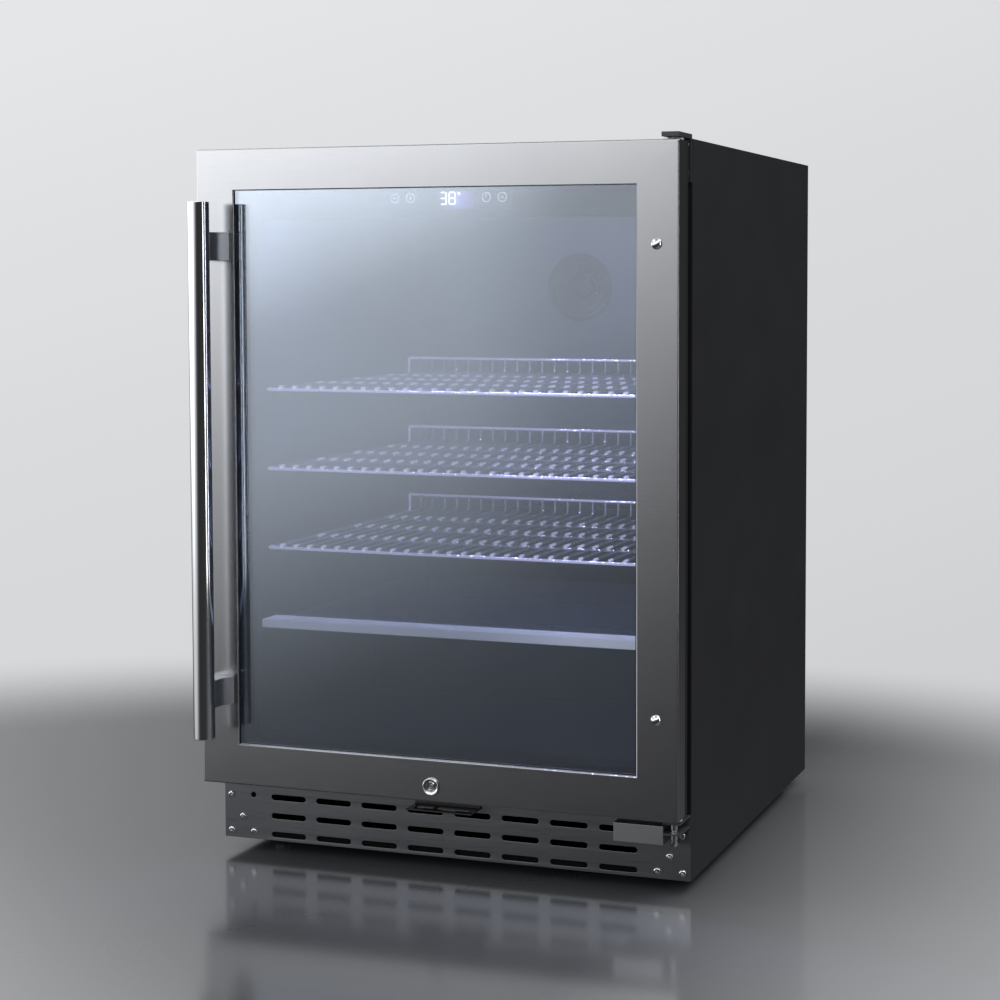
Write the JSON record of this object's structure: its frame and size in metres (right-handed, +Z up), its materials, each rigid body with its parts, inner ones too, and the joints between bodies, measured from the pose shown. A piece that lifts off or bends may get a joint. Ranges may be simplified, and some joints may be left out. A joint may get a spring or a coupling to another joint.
{
  "type": "undercounter refrigerator",
  "caption": "Built-in undercounter refrigerator with a framed glass door, tubular handle, wire shelves and slotted kick plate.",
  "frame": {"origin": "on the floor under the middle of the bounding box", "axes": "+Z up, -Y towards the door, +X towards the hinge side"},
  "size_m": [0.598, 0.6626, 0.862],
  "materials": {
    "black_enamel": "satin",
    "black_bracket": "satin",
    "brushed_stainless": "satin",
    "polished_stainless": "polished",
    "galvanised_steel": "satin",
    "black_plastic": "matte",
    "liner_plastic": "satin",
    "insulation": "matte",
    "door_glass": "gloss",
    "shelf_glass": "gloss",
    "seal_rubber": "matte",
    "display_lens": "gloss",
    "light_diffuser": "satin",
    "copper_tube": "satin",
    "chromed_wire": "gloss",
    "nylon": "satin"
  },
  "bodies": {
    "cabinet": {"cabinet_wrap": "black_enamel", "rear_panel": "galvanised_steel", "base_pan": "black_bracket", "machine_deck": "galvanised_steel", "insulation_foam": "insulation", "inner_liner": "liner_plastic", "front_face_frame": "black_plastic", "control_fascia": "black_plastic", "display_lens": "display_lens", "led_light_bar": "light_diffuser", "evaporator_cover": "liner_plastic", "evaporator_coil": "copper_tube", "evaporator_fan_motor": "galvanised_steel", "compressor": "black_bracket", "condenser_coil": "black_bracket", "condenser_fan_motor": "galvanised_steel", "condenser_fan_shroud": "black_plastic", "drain_tray": "black_plastic", "cord_gland": "black_plastic", "kick_plate": "brushed_stainless", "kick_screw_left_lower": "polished_stainless", "kick_screw_left_upper": "polished_stainless", "kick_screw_right_lower": "polished_stainless", "kick_screw_right_upper": "polished_stainless", "lock_strike_bracket": "black_bracket", "top_hinge_bracket": "black_bracket", "top_hinge_pin": "polished_stainless", "top_hinge_screw_upper": "polished_stainless", "top_hinge_screw_lower": "polished_stainless", "bottom_hinge_bracket": "black_bracket", "bottom_hinge_pin": "polished_stainless", "bottom_hinge_cover": "brushed_stainless"},
    "door": {"door_skin_frame": "brushed_stainless", "door_inner_frame": "black_plastic", "outer_glass": "door_glass", "glass_spacer": "black_plastic", "inner_glass": "door_glass", "door_gasket": "seal_rubber", "handle_bar": "polished_stainless", "handle_post_upper": "polished_stainless", "handle_post_lower": "polished_stainless", "hole_plug_upper": "polished_stainless", "hole_plug_lower": "polished_stainless", "hinge_bush_lower": "nylon", "hinge_bush_upper": "nylon", "lock_housing": "polished_stainless"},
    "lock": {"lock_plug": "polished_stainless", "lock_cam": "galvanised_steel"},
    "evaporator_rotor": {"evaporator_fan": "black_plastic"},
    "condenser_rotor": {"condenser_fan": "black_plastic"},
    "upper_shelf": {"wire_shelf_upper": "chromed_wire"},
    "middle_shelf": {"wire_shelf_middle": "chromed_wire"},
    "lower_shelf": {"wire_shelf_lower": "chromed_wire"},
    "glass_shelf": {"glass_shelf_pane": "shelf_glass", "glass_shelf_trim": "light_diffuser"},
    "foot_front_left": {"leg_front_left": "black_plastic"},
    "foot_front_right": {"leg_front_right": "black_plastic"},
    "foot_rear_left": {"leg_rear_left": "black_plastic"},
    "foot_rear_right": {"leg_rear_right": "black_plastic"}
  },
  "joints": [
    {"name": "door_swing", "type": "hinge", "parent": "cabinet", "child": "door", "pos_m": [0.2885, -0.25875, 0.475], "axis": [0, 0, 1], "range_deg": [0, 110]},
    {"name": "lock_turn", "type": "hinge", "parent": "door", "child": "lock", "pos_m": [0, -0.27875, 0.114], "axis": [0, 1, 0], "range_deg": [0, 90]},
    {"name": "evaporator_fan_spin", "type": "hinge", "parent": "cabinet", "child": "evaporator_rotor", "pos_m": [0, 0.2475, 0.69], "axis": [0, 1, 0], "continuous": true},
    {"name": "condenser_fan_spin", "type": "hinge", "parent": "cabinet", "child": "condenser_rotor", "pos_m": [0.12, 0.158, 0.112], "axis": [0, 1, 0], "continuous": true},
    {"name": "upper_shelf_slide", "type": "slide", "parent": "cabinet", "child": "upper_shelf", "axis": [0, -1, 0], "range_m": [0, 0.03]},
    {"name": "middle_shelf_slide", "type": "slide", "parent": "cabinet", "child": "middle_shelf", "axis": [0, -1, 0], "range_m": [0, 0.03]},
    {"name": "lower_shelf_slide", "type": "slide", "parent": "cabinet", "child": "lower_shelf", "axis": [0, -1, 0], "range_m": [0, 0.03]},
    {"name": "glass_shelf_slide", "type": "slide", "parent": "cabinet", "child": "glass_shelf", "axis": [0, -1, 0], "range_m": [0, 0.018]},
    {"name": "foot_front_left_level", "type": "slide", "parent": "cabinet", "child": "foot_front_left", "axis": [0, 0, -1], "range_m": [0, 0.02]},
    {"name": "foot_front_right_level", "type": "slide", "parent": "cabinet", "child": "foot_front_right", "axis": [0, 0, -1], "range_m": [0, 0.02]},
    {"name": "foot_rear_left_level", "type": "slide", "parent": "cabinet", "child": "foot_rear_left", "axis": [0, 0, -1], "range_m": [0, 0.02]},
    {"name": "foot_rear_right_level", "type": "slide", "parent": "cabinet", "child": "foot_rear_right", "axis": [0, 0, -1], "range_m": [0, 0.02]}
  ]
}
